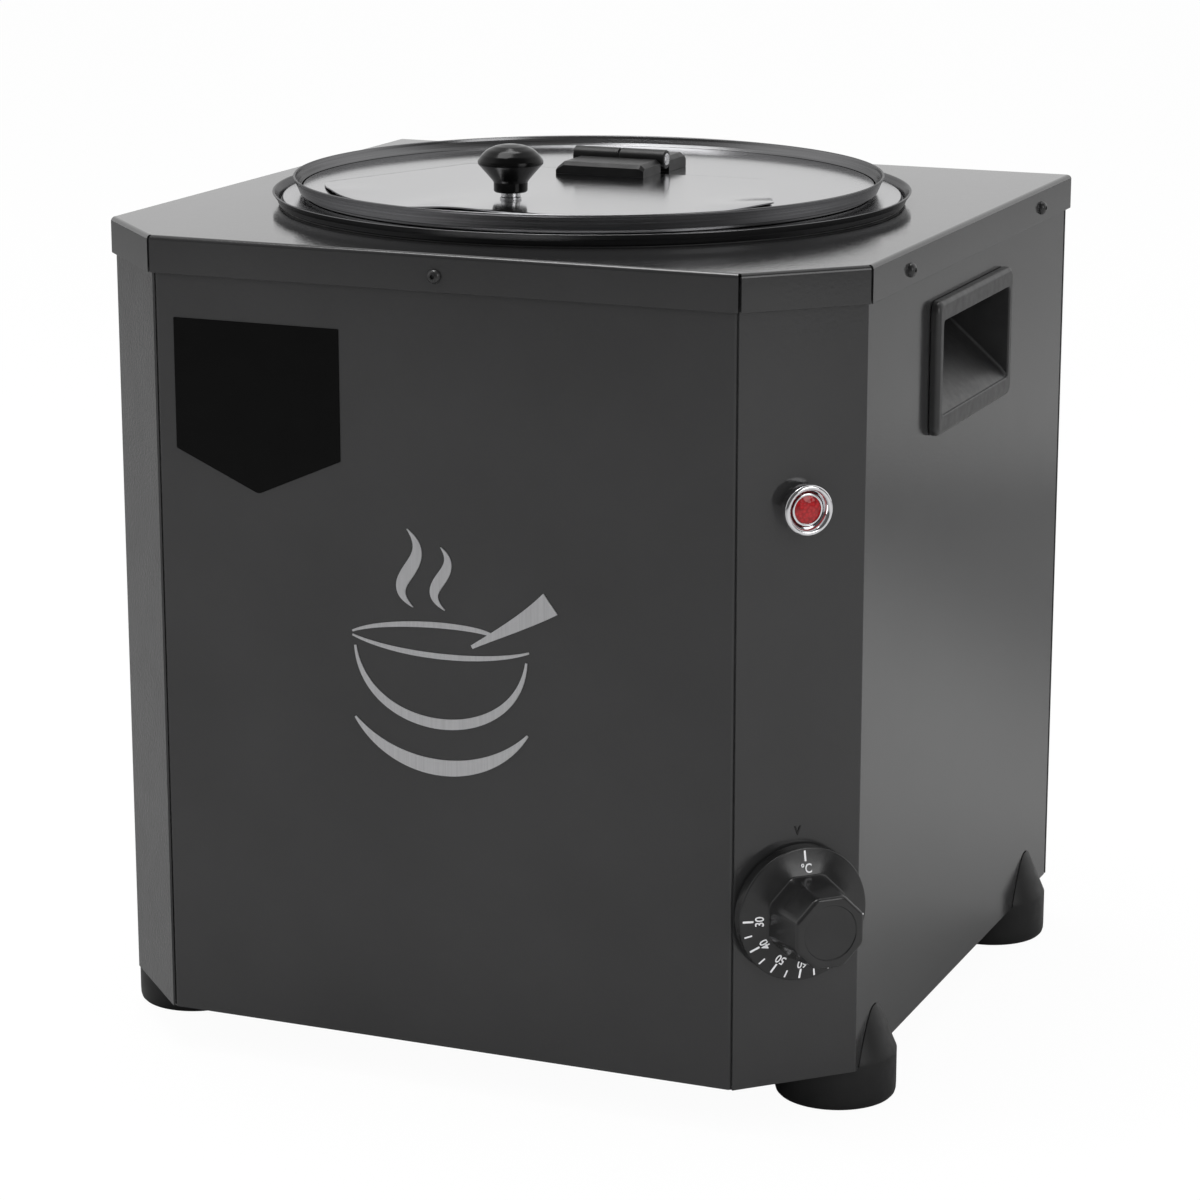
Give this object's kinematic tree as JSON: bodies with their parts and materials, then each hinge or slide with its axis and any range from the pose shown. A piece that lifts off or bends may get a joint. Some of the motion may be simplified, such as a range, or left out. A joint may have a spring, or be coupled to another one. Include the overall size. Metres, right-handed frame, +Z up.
{
  "type": "soup kettle",
  "caption": "Countertop soup kettle with cut-cornered sheet casing, heated well, lift-out pot, lid with hinged flap, thermostat dial, pilot light and recessed handles.",
  "frame": {"origin": "on the floor under the axis of the well and the pot, which is the middle of the casing", "axes": "+Z up, -Y to the front panel, +X to the side with the thermostat dial's corner"},
  "size_m": [0.3799, 0.3684, 0.4125],
  "materials": {
    "panel_paint": "fine textured powder coat",
    "cover_paint": "glossy powder coat",
    "screw_black": "black",
    "foot_plastic": "satin",
    "zinc": "bright zinc",
    "handle_plastic": "satin",
    "badge_gloss": "gloss",
    "emblem_metal": "brushed",
    "print_white": "matte print",
    "stainless": "polished stainless",
    "lid_steel": "brushed stainless",
    "seal_rubber": "matte",
    "wool": "mineral wool",
    "plate_aluminium": "satin",
    "element_steel": "oxidised",
    "ceramic": "matte",
    "copper": "satin",
    "black_plastic": "satin",
    "chrome": "polished",
    "lens_red": "gloss, dark red",
    "wire_insulation": "silicone",
    "knob_plastic": "satin",
    "hinge_plastic": "satin"
  },
  "bodies": {
    "casing": {"front_panel": "panel_paint", "left_side_panel": "panel_paint", "right_side_panel": "panel_paint", "back_panel": "panel_paint", "base_plate": "panel_paint", "top_cover": "cover_paint", "cover_screws": "screw_black", "back_screws": "screw_black", "foot_front_left": "foot_plastic", "foot_front_right": "foot_plastic", "foot_back_left": "foot_plastic", "foot_back_right": "foot_plastic", "foot_screws": "zinc", "foot_nuts": "zinc", "handle_left": "handle_plastic", "handle_right": "handle_plastic", "badge_plate": "badge_gloss", "bowl_emblem": "emblem_metal", "dial_pointer": "print_white", "well": "stainless", "well_rim": "stainless", "well_gasket": "seal_rubber", "insulation_jacket": "wool", "heater_stud": "zinc", "heating_plate": "plate_aluminium", "heating_element": "element_steel", "heater_clamp": "zinc", "heater_nut": "zinc", "thermostat_body": "ceramic", "thermostat_screws": "zinc", "thermostat_bulb": "copper", "bulb_clip": "zinc", "overheat_cutout": "black_plastic", "pilot_bezel": "chrome", "pilot_lens": "lens_red", "pilot_body": "black_plastic", "pilot_nut": "black_plastic", "cable_gland": "black_plastic", "gland_nut": "black_plastic", "terminal_block": "ceramic", "wiring": "wire_insulation"},
    "dial": {"thermostat_dial": "knob_plastic", "thermostat_knob": "knob_plastic", "thermostat_spindle": "zinc"},
    "pot": {"pot": "stainless"},
    "lid": {"lid_pan": "lid_steel", "locating_ring": "lid_steel", "hinge_rear_leaf": "hinge_plastic", "hinge_pin": "zinc", "rear_hinge_screws": "zinc"},
    "flap": {"lid_flap": "lid_steel", "hinge_front_leaf": "hinge_plastic", "front_hinge_screws": "zinc", "knob_stud": "zinc", "lid_knob": "knob_plastic"}
  },
  "joints": [
    {"name": "pot_lift", "type": "slide", "parent": "casing", "child": "pot", "axis": [0, 0, 1], "range_m": [0, 0.24]},
    {"name": "lid_lift", "type": "slide", "parent": "pot", "child": "lid", "axis": [0, 0, 1], "range_m": [0, 0.15]},
    {"name": "flap_hinge", "type": "hinge", "parent": "lid", "child": "flap", "pos_m": [0, 0.0415, 0.39], "axis": [-1, 0, 0], "range_deg": [0, 110]},
    {"name": "dial_turn", "type": "hinge", "parent": "casing", "child": "dial", "pos_m": [0.15725, -0.14925, 0.0985], "axis": [-0.7071, 0.7071, 0], "range_deg": [0, 270]}
  ]
}
